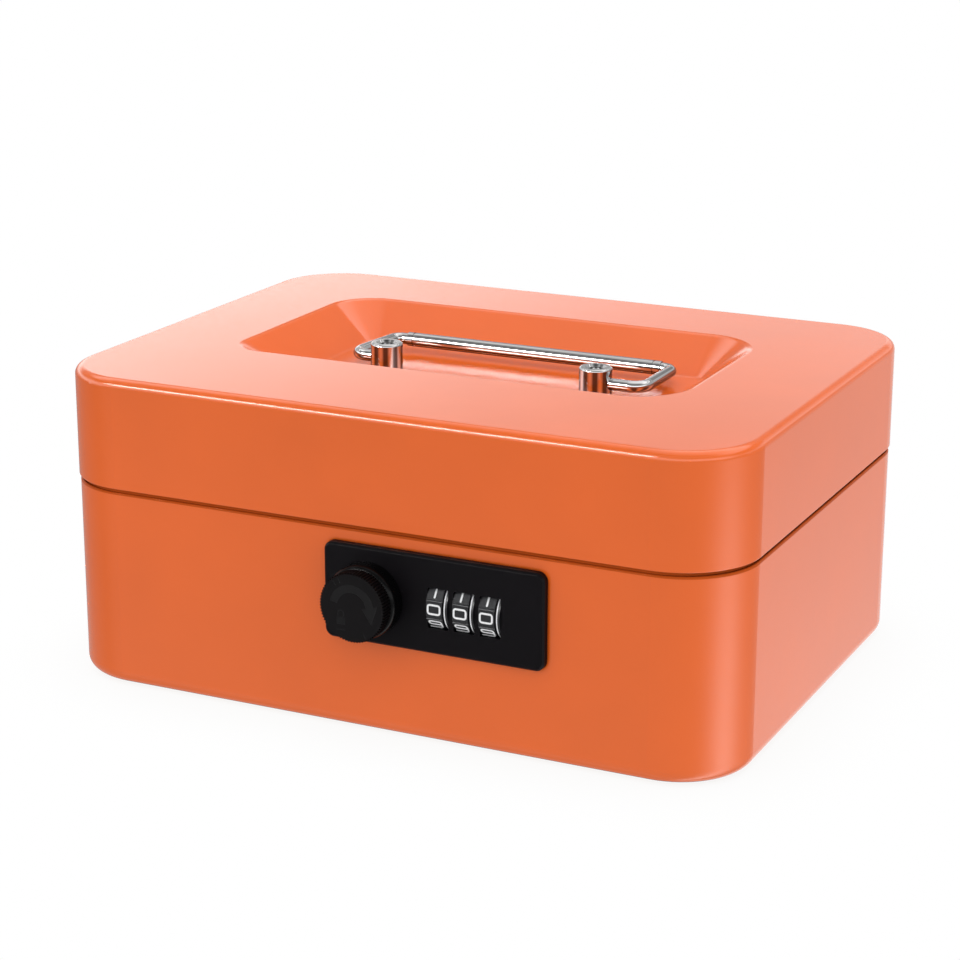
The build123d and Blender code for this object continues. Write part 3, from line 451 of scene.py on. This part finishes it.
def band(bm, outline, h0, h1, lip=0.12):
    """Raised closed outline with a small chamfer."""
    n = len(outline)
    c = Vector((sum(p[0] for p in outline) / n, sum(p[1] for p in outline) / n))
    pts = [Vector(p) for p in outline]
    area = sum(pts[i].x * pts[(i + 1) % n].y - pts[(i + 1) % n].x * pts[i].y for i in range(n))
    sgn = 1 if area > 0 else -1
    inner = []
    for i, p in enumerate(pts):
        a, b = (p - pts[i - 1]).normalized(), (pts[(i + 1) % n] - p).normalized()
        na, nb = Vector((-a.y, a.x)) * sgn, Vector((-b.y, b.x)) * sgn
        m = (na + nb).normalized()
        inner.append(p + m * lip / max(0.45, m.dot(na)))
    low = [bm.verts.new(on_knob(p.x, p.y, h0)) for p in pts]
    mid = [bm.verts.new(on_knob(p.x, p.y, h1 - lip)) for p in pts]
    top = [bm.verts.new(on_knob(p.x, p.y, h1)) for p in inner]
    for i in range(n):
        k = (i + 1) % n
        bm.faces.new((low[i], low[k], mid[k], mid[i]))
        bm.faces.new((mid[i], mid[k], top[k], top[i]))
    bm.faces.new(top)
    bm.faces.new(list(reversed(low)))


def polar(r, deg):
    return (r * math.cos(math.radians(deg)), r * math.sin(math.radians(deg)))


bm = bmesh.new()
R0, R1 = 4.35, 6.55
outer = [polar(R1, d) for d in range(168, 9, -6)]
head = [polar(R1, 9), polar(7.9, 12), polar(7.0, -33), polar(3.1, 4), polar(R0, 8)]
inner = [polar(R0, d) for d in range(12, 171, 6)]
band(bm, outer + head + inner, -0.15, 0.07, 0.06)
finish_mesh("knob_turn_arrow", bm, M_MARK, "knob_assembly")

bm = bmesh.new()
band(bm, [(-4.45, -4.9), (-1.95, -4.9), (-1.95, -2.75), (-4.45, -2.75)], -0.15, 0.07, 0.06)
stroke(bm, [(-4.0, -2.9)] + [(-3.2 + 0.85 * math.cos(math.radians(d)), -1.75 + 0.85 * math.sin(math.radians(d))) for d in range(180, -1, -15)] + [(-2.4, -2.9)], False, 0.2, on_knob, -0.15, 0.07)
finish_mesh("knob_lock_mark", bm, M_MARK, "knob_assembly")

bm = bmesh.new()
for d in (128, 116):
    stroke(bm, [polar(7.5, d), polar(8.7, d)], False, 0.17, on_knob, -0.15, 0.07)
stroke(bm, [(-4.4, -6.4), (-2.0, -6.4)], False, 0.17, on_knob, -0.15, 0.07)
stroke(bm, [polar(7.6, -62), polar(8.8, -62)], False, 0.17, on_knob, -0.15, 0.07)
finish_mesh("knob_tick_marks", bm, M_MARK, "knob_assembly")

# ------------------------------------------------------------------ stage
def stage_plane(name, size, loc, rot, mat):
    bm = bmesh.new()
    bmesh.ops.create_grid(bm, x_segments=2, y_segments=2, size=0.5)
    me = bpy.data.meshes.new(name)
    bm.to_mesh(me)
    bm.free()
    me.materials.append(mat)
    ob = bpy.data.objects.new(name, me)
    ob.scale = (size[0], size[1], 1)
    ob.location = loc
    ob.rotation_euler = rot
    bpy.context.scene.collection.objects.link(ob)
    return ob


def floor_material():
    """White sweep. It lights the walls evenly; close under the box a trace of painted contact shade, from ambient
    occlusion, darkens the white that the camera sees.
    """
    m = Mat("pale_floor")
    n = m.noise(3.0, 2.0)
    ao = m.node("ShaderNodeAmbientOcclusion")
    ao.samples = 8
    ao.inputs["Distance"].default_value = 0.035
    shade = m.math("POWER", m.math("SUBTRACT", 1.0, ao.outputs["AO"]), 1.6)
    warm = m.mix(m.math("MULTIPLY", shade, 0.22), (1.0, 1.0, 1.0), (0.62, 0.50, 0.42))
    seen = m.node("ShaderNodeEmission")
    m.link(warm, seen.inputs["Color"])
    seen.inputs["Strength"].default_value = 1.0
    lit = m.node("ShaderNodeEmission")
    m.link(m.mix(m.remap(n, 0.3, 0.7, 0.0, 1.0), (0.83, 0.83, 0.83), (0.86, 0.86, 0.86)), lit.inputs["Color"])
    lp = m.node("ShaderNodeLightPath")
    mx = m.node("ShaderNodeMixShader")
    m.link(lp.outputs["Is Camera Ray"], mx.inputs[0])
    m.link(lit.outputs[0], mx.inputs[1])
    m.link(seen.outputs[0], mx.inputs[2])
    m.link(mx.outputs[0], m.out.inputs[0])
    return m.m


floor = stage_plane("stage_floor", (14, 14), (0, 0, -0.0003), (0, 0, 0), floor_material())
floor.visible_glossy = False

# world: white to the camera, a soft studio for the lighting, a shaped one for the reflections
world = bpy.data.worlds.new("studio")
bpy.context.scene.world = world
world.use_nodes = True
wt = world.node_tree
wt.nodes.clear()


def wn(kind, **props):
    n = wt.nodes.new(kind)
    for k, v in props.items():
        setattr(n, k, v)
    return n


def wl(a, b):
    wt.links.new(a, b)


def wmath(op, a, b=None, clamp=False):
    n = wn("ShaderNodeMath", operation=op)
    n.use_clamp = clamp
    for i, v in enumerate((a, b)):
        if v is None:
            continue
        if isinstance(v, (int, float)):
            n.inputs[i].default_value = v
        else:
            wl(v, n.inputs[i])
    return n.outputs[0]


def wramp(v, stops):
    """Piecewise linear in v, given as (position, value)."""
    lo, hi = stops[0][0], stops[-1][0]
    mr = wn("ShaderNodeMapRange")
    wl(v, mr.inputs[0])
    mr.inputs[1].default_value, mr.inputs[2].default_value = lo, hi
    r = wn("ShaderNodeFloatCurve")
    cv = r.mapping.curves[0]
    top = max(s[1] for s in stops)
    pts = [((p - lo) / (hi - lo), s / top) for p, s in stops]
    cv.points[0].location = pts[0]
    cv.points[1].location = pts[-1]
    for p in pts[1:-1]:
        cv.points.new(*p)
    for p in cv.points:
        p.handle_type = "VECTOR"
    r.mapping.update()
    wl(mr.outputs[0], r.inputs["Value"])
    return wmath("MULTIPLY", r.outputs[0], top)


tc = wn("ShaderNodeTexCoord")
sep = wn("ShaderNodeSeparateXYZ")
wl(tc.outputs["Generated"], sep.inputs[0])
DX, DY, DZ = sep.outputs
lp = wn("ShaderNodeLightPath")

# reflections towards the back, upwards: bright low and to the left, darker to the right and higher
def wclamp(v, lo, hi):
    return wmath("MINIMUM", wmath("MAXIMUM", v, lo), hi)


px_ = wclamp(wmath("ADD", DX, 0.4), -0.16, 0.14)
pz_ = wclamp(wmath("ADD", DZ, -0.25), -0.05, 0.027)
poly = wmath("ADD", wmath("MULTIPLY", px_, -2.229), wmath("MULTIPLY", pz_, -11.241))
poly = wmath("ADD", poly, wmath("MULTIPLY", wmath("MULTIPLY", px_, px_), 22.316))
poly = wmath("ADD", poly, wmath("MULTIPLY", wmath("MULTIPLY", px_, pz_), 75.625))
poly = wmath("ADD", poly, wmath("MULTIPLY", wmath("MULTIPLY", pz_, pz_), 208.08))
poly = wclamp(wmath("ADD", poly, 0.801), 0.62, 2.3)
poly = wmath("ADD", poly, wmath("MULTIPLY", wmath("MAXIMUM", wmath("ADD", poly, -1.2), 0.0), 0.45))
back = wmath("MULTIPLY", poly, wramp(DZ, [(-1, 0.5), (-0.02, 0.5), (0.03, 0.20), (0.10, 0.45), (0.17, 1.0), (0.31, 1.0), (0.36, 0.40), (0.43, 0.22), (0.49, 0.70), (0.545, 0.16), (0.59, 0.25), (0.62, 2.0), (0.70, 2.4), (0.86, 2.3), (0.90, 1.8), (1.0, 1.7)]))
front = wramp(DZ, [(-1, 0.6), (-0.03, 0.6), (0.02, 2.6), (0.10, 3.2), (0.345, 3.2), (0.36, 1.2), (0.47, 1.2), (0.50, 0.55), (0.62, 0.14), (0.69, 0.9), (0.78, 0.9), (0.83, 0.12), (0.90, 0.4), (0.94, 1.2), (1.0, 1.2)])
# a bright card ahead and to the left: the fine line along the lid's rolled edge
card = wramp(DZ, [(-1, 0.0), (0.345, 0.0), (0.375, 30.0), (0.465, 30.0), (0.50, 0.0), (1.0, 0.0)])
card = wmath("MULTIPLY", card, wclamp(wmath("MULTIPLY", wmath("ADD", DX, 0.70), 12.0), 0.0, 1.0))
card = wmath("MULTIPLY", card, wclamp(wmath("MULTIPLY", wmath("ADD", DX, 0.20), -12.0), 0.0, 1.0))
front = wmath("ADD", front, card)
side = wn("ShaderNodeMapRange")
side.interpolation_type = "SMOOTHSTEP"
wl(DY, side.inputs[0])
side.inputs[1].default_value, side.inputs[2].default_value = -0.25, 0.25
up = wn("ShaderNodeMix", data_type="FLOAT")
wl(side.outputs[0], up.inputs[0])
wl(front, up.inputs[2])
wl(back, up.inputs[3])

# reflections downwards, by bearing: 0 is straight ahead of the lock, 90 is to the right, 180 behind
az = wmath("MULTIPLY", wmath("ARCTAN2", DX, wmath("MULTIPLY", DY, -1.0)), 180 / math.pi)
low = wmath("ADD", wmath("MULTIPLY", DZ, -1.0), -0.27)
base_l = wramp(az, [(-180, 0.80), (-168, 0.80), (-150, 0.40), (-60, 0.34), (-45, 0.55), (-35, 0.72), (-30, 0.57), (60, 0.57), (120, 0.50), (137, 0.42), (150, 0.34), (155, 0.36), (159.5, 0.86), (164, 0.77), (180, 0.80)])
base_l = wmath("MULTIPLY", base_l, wmath("ADD", 1.0, wclamp(wmath("MULTIPLY", low, 4.0), 0.0, 0.45)))
lobe = wmath("DIVIDE", wmath("ADD", az, -89.0), 24.0)
lobe = wmath("EXPONENT", wmath("MULTIPLY", wmath("MULTIPLY", lobe, lobe), -1.0))
lobe = wmath("MULTIPLY", lobe, wclamp(wmath("ADD", 0.80, wmath("MULTIPLY", low, 24.0)), 0.3, 3.2))
down = wmath("ADD", base_l, lobe)

sky = wn("ShaderNodeMapRange")
wl(DZ, sky.inputs[0])
sky.inputs[1].default_value, sky.inputs[2].default_value = -0.02, 0.02
gl = wn("ShaderNodeMix", data_type="FLOAT")
wl(sky.outputs[0], gl.inputs[0])
wl(down, gl.inputs[2])
wl(up.outputs[0], gl.inputs[3])
glossy = gl.outputs[0]
diffuse = wmath("ADD", 0.62, wmath("MULTIPLY", wmath("MAXIMUM", DZ, 0.0), 0.80))
diffuse = wmath("ADD", diffuse, wmath("MULTIPLY", DX, 0.30))
diffuse = wmath("ADD", diffuse, wmath("MULTIPLY", DY, 0.04))

mixg = wn("ShaderNodeMix", data_type="FLOAT")
wl(lp.outputs["Is Glossy Ray"], mixg.inputs[0])
wl(diffuse, mixg.inputs[2])
wl(glossy, mixg.inputs[3])
mixc = wn("ShaderNodeMix", data_type="FLOAT")
wl(lp.outputs["Is Camera Ray"], mixc.inputs[0])
wl(mixg.outputs[0], mixc.inputs[2])
mixc.inputs[3].default_value = 1.0
bg = wn("ShaderNodeBackground")
bg.inputs[0].default_value = (1, 1, 1, 1)
wl(mixc.outputs[0], bg.inputs[1])
wo = wn("ShaderNodeOutputWorld")
wl(bg.outputs[0], wo.inputs[0])


def area(name, loc, target, size, size_y, power):
    ld = bpy.data.lights.new(name, "AREA")
    ld.shape = "RECTANGLE"
    ld.size, ld.size_y = size, size_y
    ld.energy = power
    lo = bpy.data.objects.new(name, ld)
    lo.location = loc
    lo.rotation_euler = (Vector(target) - Vector(loc)).to_track_quat("-Z", "Y").to_euler()
    bpy.context.scene.collection.objects.link(lo)
    lo.visible_camera = False
    return lo


# long strip above the front edge: draws the fine line along the lid's rolled edge
area("strip_front", (-0.75, -1.55, 1.15), (0, 0, 0.05), 1.9, 0.07, 2.0)

# ------------------------------------------------------------------ camera
cd = bpy.data.cameras.new("camera")
cam = bpy.data.objects.new("camera", cd)
bpy.context.scene.collection.objects.link(cam)
cd.sensor_fit = "HORIZONTAL"
cd.sensor_width = 36.0
cd.lens = 94.137
cd.shift_x = -0.00281
cd.shift_y = 0.00005
X = Vector((0.90263, 0.43041, 0.00270))
Y = Vector((-0.12693, 0.26019, 0.95718))
Z = Vector((0.41128, -0.86432, 0.28948))
C = Vector((300.969, -639.386, 264.690)) * MM
cam.matrix_world = Matrix(((X.x, Y.x, Z.x, C.x), (X.y, Y.y, Z.y, C.y), (X.z, Y.z, Z.z, C.z), (0, 0, 0, 1)))
cd.clip_start, cd.clip_end = 0.01, 50.0
bpy.context.scene.camera = cam

vs = bpy.context.scene.view_settings
vs.view_transform = "Standard"
vs.look = "None"
vs.exposure = 0.0
vs.gamma = 1.0
